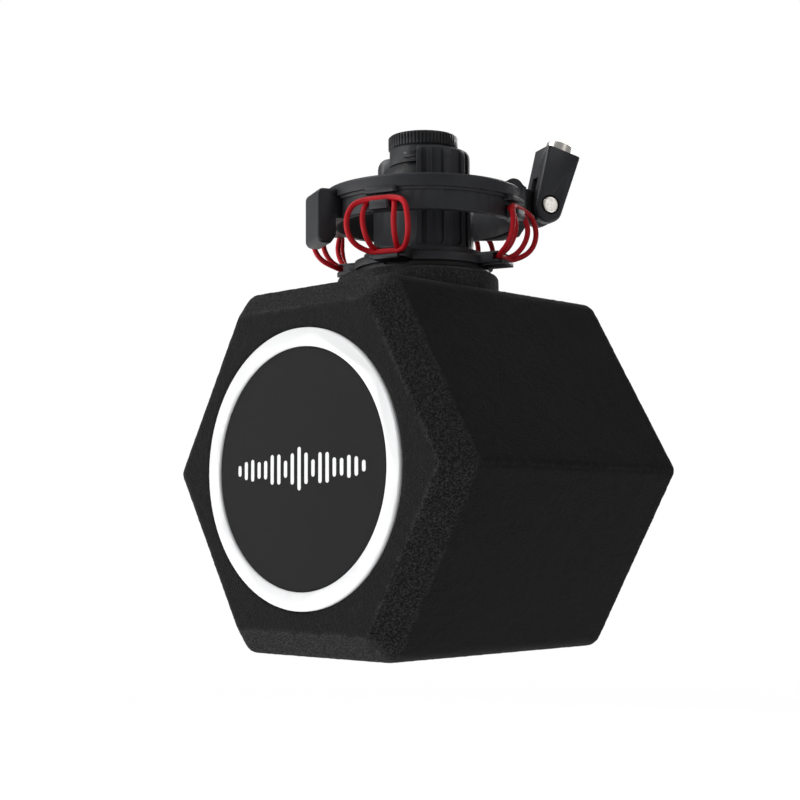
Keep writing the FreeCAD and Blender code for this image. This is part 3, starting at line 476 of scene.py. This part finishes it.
def baked(obj):
    """Applies an object's modifiers to its mesh."""
    depsgraph = bpy.context.evaluated_depsgraph_get()
    depsgraph.update()
    mesh = bpy.data.meshes.new_from_object(obj.evaluated_get(depsgraph))
    old = obj.data
    obj.modifiers.clear()
    obj.data = mesh
    bpy.data.meshes.remove(old)


def add_shape(vertices, faces, more_vertices, more_faces):
    """Appends one shape to the lists of another."""
    start = len(vertices)
    vertices.extend(more_vertices)
    faces.extend(tuple(start + v for v in face) for face in more_faces)


def circle(radius, height, sectors):
    """Points of a level circle about the upright axis."""
    turns = [math.tau * k / sectors for k in range(sectors)]
    return [(radius * math.cos(turn), radius * math.sin(turn), height) for turn in turns]


def tube_faces(count, sides, closed):
    """Faces that join count rows of sides points each, and the last row to the first if closed."""
    faces = []
    for i in range(count if closed else count - 1):
        for k in range(sides):
            i2, k2 = (i + 1) % count, (k + 1) % sides
            faces.append((i * sides + k, i * sides + k2, i2 * sides + k2, i2 * sides + k))
    return faces


def copy_of(node, name):
    """A second object with a copy of a CAD part's mesh."""
    source = NODES[node]
    obj = bpy.data.objects.new(name, source.data.copy())
    SCENE.collection.objects.link(obj)
    return obj


def merged(obj):
    """Joins a tessellated part's split vertices and melts its flat faces into whole ones."""
    bm = bmesh.new()
    bm.from_mesh(obj.data)
    bmesh.ops.remove_doubles(bm, verts=bm.verts, dist=WELD_DISTANCE)
    bmesh.ops.dissolve_limit(bm, angle_limit=math.radians(FLAT_ANGLE), verts=bm.verts, edges=bm.edges)
    bm.to_mesh(obj.data)
    bm.free()
    return obj


def crisp(node):
    """A copy of a hard CAD part with its edges rounded off, standing for it."""
    obj = merged(copy_of(node, f"{node}_finished"))
    bevel = obj.modifiers.new("edges", "BEVEL")
    bevel.width = EDGE_RADIUS
    bevel.segments = EDGE_SEGMENTS
    bevel.limit_method = "ANGLE"
    bevel.angle_limit = math.radians(EDGE_ANGLE)
    bevel.use_clamp_overlap = True
    bevel.harden_normals = True
    baked(obj)
    obj.data.polygons.foreach_set("use_smooth", [True] * len(obj.data.polygons))
    obj.data.set_sharp_from_angle(angle=math.radians(SHARP_ANGLE))
    paint(obj, SLOT[node])
    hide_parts(node)
    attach(obj, BODY[node])


# ---- foam ----
FOAM_SIDES = 6
HEXAGON_CORNER_SINE = 0.866
WEAR_REACH = 1.1 * MM
CUT_REACH = 1.2 * MM
CUT_MARGIN = 0.2 * MM
COLLAR_WEAR_INSET = 1.5 * MM
COLLAR_WEAR_REACH = 1.6 * MM
COLLAR_MOULDED = 3 * MM
LUMPS_PER_METRE = 260
GRAINS_PER_METRE = 900
GRAIN_SHIFT = Vector((7, 3, 1))
SKIN_DROP = 0.1 * MM


def hexagon_depths(points):
    """How far points lie inside the two nearest sides of the block, seen along its axis."""
    turns = np.radians(90 + 60 * np.arange(FOAM_SIDES))
    flat = points[:, [0, 2]] - np.array([0.0, FOAM_AXIS.z])
    depths = FOAM_APOTHEM - flat @ np.stack([np.cos(turns), np.sin(turns)])
    return np.sort(depths, axis=1)[:, :2].T


def foam_wear(points):
    """1 on the block's rubbed edges, falling to 0 a few millimetres away."""
    first, second = hexagon_depths(points)
    y = points[:, 1]
    front, rear = FOAM_LOW.y, FOAM_HIGH.y
    inset = FOAM_BEVEL_IN * np.clip(1 - (y - front) / FOAM_BEVEL_DEEP, 0, 1)
    edges = [
        np.hypot((second - first) / HEXAGON_CORNER_SINE, np.maximum(0, first - inset)),
        np.hypot(first, y - front - FOAM_BEVEL_DEEP),
        np.hypot(first - FOAM_BEVEL_IN, y - front),
        np.hypot(first, y - rear),
    ]
    nearest = np.min(edges, axis=0)
    return np.exp(-((nearest / WEAR_REACH) ** 2))


def foam_cut(points):
    """1 on the block's bevelled faces, which were cut after moulding."""
    first, _ = hexagon_depths(points)
    inset = FOAM_BEVEL_IN * (1 - (points[:, 1] - FOAM_LOW.y) / FOAM_BEVEL_DEEP)
    on_bevel = (inset > -CUT_MARGIN) & (first < FOAM_BEVEL_IN + CUT_MARGIN)
    return np.where(on_bevel, np.exp(-(((first - inset) / CUT_REACH) ** 2)), 0.0)


def collar_wear(points):
    """1 along the collar's upper rim, falling to 0 a few millimetres away."""
    middle = (COLLAR_LOW + COLLAR_HIGH) / 2
    outward = np.hypot(points[:, 0] - middle.x, points[:, 1] - middle.y) - COLLAR_HIGH.x + COLLAR_WEAR_INSET
    upward = points[:, 2] - COLLAR_HIGH.z + COLLAR_WEAR_INSET
    return np.exp(-((np.hypot(outward, upward) / COLLAR_WEAR_REACH) ** 2))


def collar_cut(points):
    """Half on the collar's side, which is cut foam, and none on its moulded top."""
    return np.where(points[:, 2] < COLLAR_HIGH.z - COLLAR_MOULDED, 0.5, 0.0)


def foam_piece(node, name, voxel, wear, cut, depth):
    """The node's solid as foam: an even fine skin, softened edges, a grainy surface. Voxel size and depth of
    grain are in millimetres."""
    obj = copy_of(node, name)
    remesh = obj.modifiers.new("skin", "REMESH")
    remesh.mode = "VOXEL"
    remesh.voxel_size = voxel * 1 * MM
    remesh.use_smooth_shade = True
    soften = obj.modifiers.new("soften", "SMOOTH")
    soften.factor, soften.iterations = 0.5, 2
    baked(obj)
    mesh = obj.data
    count = len(mesh.vertices)
    points, normals = np.zeros(count * 3), np.zeros(count * 3)
    mesh.vertices.foreach_get("co", points)
    mesh.vertices.foreach_get("normal", normals)
    points, normals = points.reshape(-1, 3), normals.reshape(-1, 3)
    lumps = np.array([noise.noise(Vector(p) * LUMPS_PER_METRE) for p in points])
    grain = np.array([noise.noise(Vector(p) * GRAINS_PER_METRE + GRAIN_SHIFT) for p in points])
    lift = depth * MM * (0.45 * lumps + 0.55 * grain) - SKIN_DROP
    mesh.vertices.foreach_set("co", (points + normals * lift[:, None]).ravel())
    for key, shares in (("wear", wear(points)), ("cut", cut(points))):
        mesh.attributes.new(key, "FLOAT", "POINT").data.foreach_set("value", shares.astype(np.float32))
    mesh.update()
    paint(obj, SLOT[node])
    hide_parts(node)
    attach(obj, BODY[node])


foam_piece("foam_body", "foam_block", 1.5, foam_wear, foam_cut, 0.34)
foam_piece("neck_collar", "foam_neck_collar", 0.9, collar_wear, collar_cut, 0.2)


# ---- pop filter ----
def mouth_point(x, z, lift):
    """A point lifted off the front mesh, which bellies out a little inside its rim."""
    rim = (MESH_HIGH.x - MESH_LOW.x) / 2
    share = min(1.0, math.hypot(x, z) / rim)
    belly = MESH_BELLY * (1 - share * share)
    return Vector((x, MESH_LOW.y - belly - lift, FOAM_AXIS.z + z))


def mesh_disc(node, name, front):
    """A stretched disc of woven cloth on an even polar grid, closed by a narrow band round its edge."""
    low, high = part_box(node)
    rim = (high.x - low.x) / 2
    rings, sectors = 44, 160
    full_belly = MESH_BELLY if front else 0.0
    vertices, faces = [], []
    for side in (0, 1):
        for i in range(1, rings + 1):
            for k in range(sectors):
                turn = math.tau * k / sectors
                x, z = rim * i / rings * math.cos(turn), rim * i / rings * math.sin(turn)
                belly = full_belly * (1 - (i / rings) ** 2)
                ripple = 0.03 * MM * noise.noise(Vector((x, z, side)) * 90)
                vertices.append((x, low.y - belly + ripple + side * MESH_THICK, FOAM_AXIS.z + z))
        vertices.append((0, low.y - full_belly + side * MESH_THICK, FOAM_AXIS.z))
    stride = rings * sectors + 1
    for side in (0, 1):
        first = side * stride
        centre = first + stride - 1
        for k in range(sectors):
            k2 = (k + 1) % sectors
            tri = (centre, first + k, first + k2)
            faces.append(tri if side == 0 else tri[::-1])
            for i in range(rings - 1):
                a, b = first + i * sectors + k, first + i * sectors + k2
                quad = (a, a + sectors, b + sectors, b)
                faces.append(quad if side == 0 else quad[::-1])
    outer = (rings - 1) * sectors
    for k in range(sectors):
        k2 = (k + 1) % sectors
        faces.append((outer + k, outer + stride + k, outer + stride + k2, outer + k2))
    obj = piece(name, vertices, faces, BODY[node], "mesh_cloth")
    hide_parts(node)


def wave_bars():
    """A generic sound wave printed across the mesh: a row of round-ended bars."""
    vertices, faces = [], []
    count, pitch, half_wide, longest, steps = 19, 5.4 * MM, 1.3 * MM, 11.5 * MM, 8
    proud, sunk = 0.09 * MM, -0.03 * MM
    middle = (count - 1) / 2
    for i in range(count):
        place = (i - middle) * pitch
        share = abs(i - middle) / middle
        swell = 0.35 + 0.65 * abs(math.cos(2.45 * math.pi * share)) * (1 - 0.55 * share)
        half_long = max(half_wide, longest * swell * (1 - 0.35 * share))
        rim = []
        for end in (1, -1):
            for k in range(steps + 1):
                turn = math.pi * k / steps if end == 1 else math.pi + math.pi * k / steps
                rim.append((place + half_wide * math.cos(turn),
                            half_wide * math.sin(turn) + end * (half_long - half_wide)))
        start = len(vertices)
        vertices += [mouth_point(x, z, proud) for x, z in rim]
        vertices += [mouth_point(x, z, sunk) for x, z in rim]
        total = len(rim)
        faces.append(tuple(start + k for k in range(total)))
        faces.append(tuple(start + total + k for k in reversed(range(total))))
        for k in range(total):
            k2 = (k + 1) % total
            faces.append((start + k2, start + k, start + total + k, start + total + k2))
    piece("pop_filter_wave_print", vertices, faces, "pop_filter", "print", smooth=False)


mesh_disc("pop_filter_front_mesh", "front_mesh_cloth", True)
mesh_disc("pop_filter_rear_mesh", "rear_mesh_cloth", False)
wave_bars()


# ---- elastics ----
# control points of half of each loop (radius, along the hook, height), in millimetres
OUTER_LOOP = [(59.0, 0, 248.2), (59.0, 9.0, 248.2), (61.3, 16.4, 245.3), (63.0, 19.0, 235.0),
              (59.2, 17.2, 225.2), (50.4, 10.5, 220.3), (50.4, 0, 220.3)]
INNER_LOOP = [(55.65, 0, 248.2), (55.65, 7.0, 248.2), (59.8, 9.6, 243.2), (61.2, 9.4, 234.0),
              (56.0, 8.2, 224.2), (47.05, 6.0, 220.3), (47.05, 0, 220.3)]
# degrees round the mount from the swivel's side
HOOKS = {"elastic_front_right": -45, "elastic_rear_right": 45,
         "elastic_rear_left": 135, "elastic_front_left": -135}
CORD_RADIUS = 1.55 * MM
CORD_SIDES = 24
CORD_STEP = 0.3 * MM
CORD_STRANDS = 8
STEPS_PER_TWIST = 26
BRAID_DEPTH = 0.045
SPAN_STEPS = 20
FEWEST_POINTS = 24


def closed_curve(points):
    """A smooth closed line that rounds each control point between the middles of its two spans."""
    points = [Vector(p) for p in points]
    line = []
    for i, corner in enumerate(points):
        start = (points[i - 1] + corner) / 2
        end = (corner + points[(i + 1) % len(points)]) / 2
        for k in range(SPAN_STEPS):
            t = k / SPAN_STEPS
            line.append(start * (1 - t) ** 2 + corner * 2 * t * (1 - t) + end * t * t)
    return line


def evenly(line, step):
    """The closed line again, with points about step apart."""
    lengths = [0.0]
    for a, b in zip(line, line[1:] + line[:1]):
        lengths.append(lengths[-1] + (b - a).length)
    count = max(FEWEST_POINTS, round(lengths[-1] / step))
    result, j = [], 0
    for i in range(count):
        want = lengths[-1] * i / count
        while lengths[j + 1] < want:
            j += 1
        a, b = line[j], line[(j + 1) % len(line)]
        result.append(a.lerp(b, (want - lengths[j]) / (lengths[j + 1] - lengths[j])))
    return result


def braided_loop(line):
    """Vertices, faces and braid height of a closed braided cord along a line."""
    count = len(line)
    normal = None
    frames = []
    for i in range(count):
        tangent = (line[(i + 1) % count] - line[i - 1]).normalized()
        if normal is None:
            normal = tangent.orthogonal().normalized()
        normal = (normal - tangent * normal.dot(tangent)).normalized()
        frames.append((tangent, normal.copy()))
    last_tangent, last = frames[-1]
    first = frames[0][1]
    closing = math.atan2(last_tangent.dot(last.cross(first)), last.dot(first))
    twists = round(count / STEPS_PER_TWIST)
    vertices, heights = [], []
    for i, (point, (tangent, side)) in enumerate(zip(line, frames)):
        side = Matrix.Rotation(closing * i / count, 3, tangent) @ side
        other = tangent.cross(side)
        for k in range(CORD_SIDES):
            around = math.tau * k / CORD_SIDES
            wind = math.tau * twists * i / count
            left = math.cos(CORD_STRANDS / 2 * around + CORD_STRANDS / 2 * wind)
            right = math.cos(CORD_STRANDS / 2 * around - CORD_STRANDS / 2 * wind)
            height = max(abs(left), abs(right))
            radius = CORD_RADIUS * (1 - BRAID_DEPTH + BRAID_DEPTH * height)
            vertices.append(point + (side * math.cos(around) + other * math.sin(around)) * radius)
            heights.append(height)
    return vertices, tube_faces(count, CORD_SIDES, True), heights


def elastic(node, bearing):
    """One elastic of two loops, hung between a hook of the ring and a lug of the cradle."""
    turn = Matrix.Rotation(SWIVEL_BEARING + math.radians(bearing), 3, "Z")
    vertices, faces, heights = [], [], []
    for half in (OUTER_LOOP, INNER_LOOP):
        whole = half + [(r, -t, z) for r, t, z in reversed(half[1:-1])]
        line = evenly(closed_curve([turn @ (Vector(p) * MM) for p in whole]), CORD_STEP)
        more_vertices, more_faces, more_heights = braided_loop(line)
        add_shape(vertices, faces, more_vertices, more_faces)
        heights += more_heights
    obj = piece(f"{node}_cord", vertices, faces, None, "elastic_red")
    obj.data.attributes.new("braid", "FLOAT", "POINT").data.foreach_set("value", heights)
    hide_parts(node)
    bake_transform(obj)


for elastic_node, hook in HOOKS.items():
    elastic(elastic_node, hook)


# ---- head grille: wire cloth over a dark inner shell ----
GRILLE_CORNER = 12 * MM
GRILLE_RIBS = 88
CORNER_STEPS = 14
TIP_STEPS = 10
WIRE_INSET = 0.45 * MM
WIRE_RADIUS = 0.22 * MM
WIRE_SIDES = 5
WIRE_STEPS = 56
WIRE_SWAY = 0.2 * MM
SMALLEST_HOOP = 2 * MM
LINER_OUTSIDE = 1.05 * MM
LINER_INSIDE = 1.3 * MM
LINER_SECTORS = 96
LINER_STEPS = 24
SMALLEST_RADIUS = 0.05 * MM


def grille_profile(inset, corner, steps):
    """(radius, height) down the side and round the rounded end to the axis, inset from the CAD grille."""
    radius, tip, top = GRILLE_HIGH.x - inset, GRILLE_LOW.z + inset, GRILLE_HIGH.z
    side = [(radius, top + (tip + corner - top) * i / steps) for i in range(steps + 1)]
    bend = [(radius - corner + corner * math.cos(a), tip + corner - corner * math.sin(a))
            for a in (math.radians(90 * i / CORNER_STEPS) for i in range(1, CORNER_STEPS + 1))]
    flat = [((radius - corner) * (1 - i / TIP_STEPS), tip) for i in range(1, TIP_STEPS + 1)]
    return side + bend + flat


def revolved(profile, sectors):
    """Vertices and faces of a profile turned about the upright axis."""
    vertices = []
    for r, z in profile:
        vertices += circle(max(r, SMALLEST_RADIUS), z, sectors)
    return vertices, tube_faces(len(profile), sectors, False)


def wire(line, closed):
    """Vertices and faces of a round wire along a line."""
    vertices = []
    count = len(line)
    for i, point in enumerate(line):
        ahead = line[(i + 1) % count] if closed or i < count - 1 else point
        behind = line[i - 1] if closed or i > 0 else point
        tangent = (ahead - behind).normalized()
        on_side = point.z > GRILLE_LOW.z + GRILLE_CORNER
        outward = Vector((point.x, point.y, 0.1 * MM if on_side else -20 * MM)).normalized()
        side = tangent.cross(outward).normalized()
        other = side.cross(tangent)
        vertices += [point + (side * math.cos(a) + other * math.sin(a)) * WIRE_RADIUS
                     for a in (math.tau * k / WIRE_SIDES for k in range(WIRE_SIDES))]
    return vertices, tube_faces(count, WIRE_SIDES, closed)


def wire_cloth():
    """The grille's woven wires: hoops and ribs that pass over and under each other."""
    profile = grille_profile(WIRE_INSET, GRILLE_CORNER, WIRE_STEPS)
    vertices, faces = [], []

    def at(i, turn, lift):
        r, z = profile[i]
        a, b = profile[max(i - 1, 0)], profile[min(i + 1, len(profile) - 1)]
        along = Vector((b[0] - a[0], b[1] - a[1])).normalized()
        r, z = r - along.y * lift, z + along.x * lift
        return Vector((r * math.cos(turn), r * math.sin(turn), z))

    def sway(i, k):
        return WIRE_SWAY * (1 if (i + k) % 2 else -1)

    turns = [math.tau * k / GRILLE_RIBS for k in range(GRILLE_RIBS)]
    for k, turn in enumerate(turns):
        if k % 4 == 0:
            stop_short = 3
        elif k % 2 == 0:
            stop_short = 6
        else:
            stop_short = 9
        rib = [at(i, turn, sway(i, k)) for i in range(len(profile) - stop_short)]
        add_shape(vertices, faces, *wire(rib, False))
    for i in range(1, len(profile) - 2):
        if profile[i][0] < SMALLEST_HOOP:
            continue
        hoop = [at(i, turn, -sway(i, k)) for k, turn in enumerate(turns)]
        add_shape(vertices, faces, *wire(hoop, True))
    return piece("head_grille_wire_cloth", vertices, faces, "microphone", "grille_wire")


def grille_shell():
    """The dark fine-mesh liner that shows between the wires."""
    outer = grille_profile(LINER_OUTSIDE, 11 * MM, LINER_STEPS)
    inner = grille_profile(LINER_INSIDE, 10.8 * MM, LINER_STEPS)
    vertices, faces = revolved(outer, LINER_SECTORS)
    faces = [face[::-1] for face in faces]
    start = len(vertices)
    add_shape(vertices, faces, *revolved(inner, LINER_SECTORS))
    for k in range(LINER_SECTORS):
        k2 = (k + 1) % LINER_SECTORS
        faces.append((k, k2, start + k2, start + k))
    piece("head_grille_liner", vertices, faces, "microphone", "inner_plastic")


cloth = wire_cloth()
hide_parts("head_grille")
grille_shell()


# ---- hard parts with their edges rounded ----
HARD_PARTS = (
    "outer_ring", "front_block", "swivel_bracket", "cradle_frame", "cradle_lug_plate", "cradle_lower_ring",
    "socket_block", "locking_ring", "pop_filter_ring", "microphone_tail", "microphone_tube", "grille_collar",
    "thread_adapter", "pivot_bolt", "pivot_nut", "xlr_insert",
)
for hard in HARD_PARTS:
    crisp(hard)


# ---- light, floor and camera ----
WHITE = (1, 1, 1, 1)
LIGHT_TARGET = (0, 0, 0.12)
LIGHT_SIZE = 1.2
SWEEP_TOWARD = (-0.45, -0.66, -0.6)
SWEEP_START = 0.4
SWEEP_DIM, SWEEP_BRIGHT = 0.25, 3.5
FLOOR_LEVEL = -0.32
FLOOR_REACH = 6.0
FLOOR_FADE_FROM, FLOOR_FADE_TO = 0.7, 3.4
CAMERA_AT = (0.6136, -0.6501, 0.0666)
CAMERA_YAW, CAMERA_PITCH, CAMERA_ROLL = 44.25, -4.82, 0.26
CAMERA_LENS = 70.24
CAMERA_SENSOR = 36


def area_light(name, at, target, size, energy):
    """A white disc of light pointed at a target, its energy in watts."""
    light = bpy.data.lights.new(name, "AREA")
    light.shape, light.size, light.energy = "DISK", size, energy
    obj = bpy.data.objects.new(name, light)
    obj.location = at
    obj.rotation_euler = (Vector(target) - Vector(at)).to_track_quat("-Z", "Y").to_euler()
    SCENE.collection.objects.link(obj)
    return obj


def studio():
    """A soft key from the upper left, weaker lights from the right and from behind, a pale sweep below on the
    near left, dimmer light all round, and a small card that only shows in shiny things."""
    area_light("key", (-1.03, -0.90, 1.96), LIGHT_TARGET, LIGHT_SIZE, 28)
    area_light("side", (1.7, 0.5, 2.0), LIGHT_TARGET, LIGHT_SIZE, 6)
    area_light("back", (-0.6, 2.0, 1.0), LIGHT_TARGET, LIGHT_SIZE, 22)
    area_light("card", (1.5, 0.06, 0.56), PIVOT, 0.55, 0.8).visible_diffuse = False
    world = bpy.data.worlds.new("studio")
    SCENE.world = world
    world.use_nodes = True
    tree = world.node_tree

    def add(kind, **values):
        node = tree.nodes.new(kind)
        for key, value in values.items():
            setattr(node, key, value)
        return node

    toward = add("ShaderNodeVectorMath", operation="DOT_PRODUCT")
    toward.inputs[1].default_value = Vector(SWEEP_TOWARD).normalized()
    tree.links.new(add("ShaderNodeTexCoord").outputs["Generated"], toward.inputs[0])
    sweep = add("ShaderNodeMapRange", clamp=True)
    sweep.inputs["From Min"].default_value = SWEEP_START
    sweep.inputs["To Min"].default_value = SWEEP_DIM
    sweep.inputs["To Max"].default_value = SWEEP_BRIGHT
    tree.links.new(toward.outputs["Value"], sweep.inputs["Value"])
    ambient = add("ShaderNodeBackground")
    tree.links.new(sweep.outputs["Result"], ambient.inputs["Strength"])
    ambient.inputs["Color"].default_value = WHITE
    seen = tree.nodes["Background"]
    seen.inputs["Color"].default_value = WHITE
    mix = add("ShaderNodeMixShader")
    tree.links.new(add("ShaderNodeLightPath").outputs["Is Camera Ray"], mix.inputs["Fac"])
    tree.links.new(ambient.outputs[0], mix.inputs[1])
    tree.links.new(seen.outputs[0], mix.inputs[2])
    tree.links.new(mix.outputs[0], tree.nodes["World Output"].inputs["Surface"])


def floor():
    """A round pale floor well below the hanging part, fading into the white studio."""
    rings, sectors = 24, 96
    vertices = [(0, 0, FLOOR_LEVEL)]
    for i in range(1, rings + 1):
        vertices += circle(FLOOR_REACH * (i / rings) ** 2, FLOOR_LEVEL, sectors)
    faces = [(0, 1 + k, 1 + (k + 1) % sectors) for k in range(sectors)]
    for i in range(rings - 1):
        for k in range(sectors):
            a, b = 1 + i * sectors + k, 1 + i * sectors + (k + 1) % sectors
            faces.append((a, a + sectors, b + sectors, b))
    mesh = bpy.data.meshes.new("floor")
    mesh.from_pydata(vertices, [], faces)
    obj = bpy.data.objects.new("floor", mesh)
    SCENE.collection.objects.link(obj)
    p = Paint("floor", (0.9, 0.9, 0.9), 0.7, Emission_Color=WHITE, Emission_Strength=0.6)
    p.bump(p.grain(10 * MM, 3.0), 0.2 * MM, 0.2)
    p.colour(p.ramp(p.grain(0.4, 3.0), 0.3, 0.7, 0.0, 0.3), (0.96, 0.96, 0.96))
    clear = p.nodes.new("ShaderNodeBsdfTransparent")
    mix = p.nodes.new("ShaderNodeMixShader")
    p.link(p.ramp(p.away((0, 0, 0), UP), FLOOR_FADE_FROM, FLOOR_FADE_TO), mix.inputs["Fac"])
    p.link(p.shader.outputs[0], mix.inputs[1])
    p.link(clear.outputs[0], mix.inputs[2])
    p.link(mix.outputs[0], p.nodes["Material Output"].inputs["Surface"])
    mesh.materials.append(p.material)
    obj.visible_diffuse = False


def camera():
    """A camera in front and to the right, looking a little up."""
    yaw, pitch, roll = (math.radians(turn) for turn in (CAMERA_YAW, CAMERA_PITCH, CAMERA_ROLL))
    back = Vector((math.sin(yaw) * math.cos(pitch), -math.cos(yaw) * math.cos(pitch), math.sin(pitch)))
    right = Vector((math.cos(yaw), math.sin(yaw), 0))
    up = back.cross(right)
    tilted_right = right * math.cos(roll) - up * math.sin(roll)
    tilted_up = right * math.sin(roll) + up * math.cos(roll)
    lens = bpy.data.cameras.new("camera")
    lens.sensor_width, lens.lens = CAMERA_SENSOR, CAMERA_LENS
    obj = bpy.data.objects.new("camera", lens)
    turned = Matrix((tilted_right, tilted_up, back)).transposed().to_4x4()
    obj.matrix_world = Matrix.Translation(CAMERA_AT) @ turned
    SCENE.collection.objects.link(obj)
    SCENE.camera = obj


SCENE.view_settings.view_transform = "Standard"
studio()
floor()
camera()
